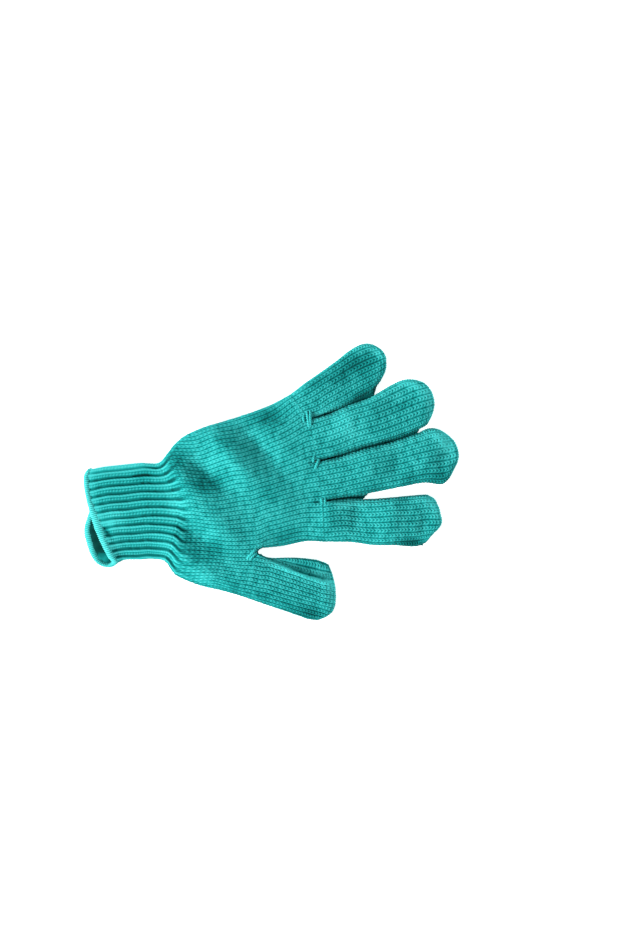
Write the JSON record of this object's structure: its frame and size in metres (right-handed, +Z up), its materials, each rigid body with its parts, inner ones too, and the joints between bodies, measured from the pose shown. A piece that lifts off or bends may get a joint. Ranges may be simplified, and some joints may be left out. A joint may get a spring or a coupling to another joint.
{
  "type": "wool glove",
  "caption": "Seamless plain-knit wool glove with a ribbed cuff and an overlocked mouth, lying flat with its fingers spread.",
  "frame": {"origin": "middle of the glove's plan, on the surface that it lies on", "axes": "+X from the cuff's mouth to the tip of the middle finger, +Y to the little-finger side, +Z up from the table"},
  "size_m": [0.2463, 0.17, 0.0167],
  "materials": {
    "plain_knit": "plain stockinette knit of two-ply teal wool, matt and slightly hairy",
    "rib_knit": "one-by-one rib knit of the same teal wool over elastic, matt",
    "edge_thread": "overlocked edge of the same teal yarn, matt"
  },
  "bodies": {
    "root": {"ribbed_cuff": "rib_knit", "cuff_edge": "edge_thread", "hand": "plain_knit", "thumb": "plain_knit", "index_finger": "plain_knit", "middle_finger": "plain_knit", "ring_finger": "plain_knit", "little_finger": "plain_knit"}
  },
  "joints": []
}
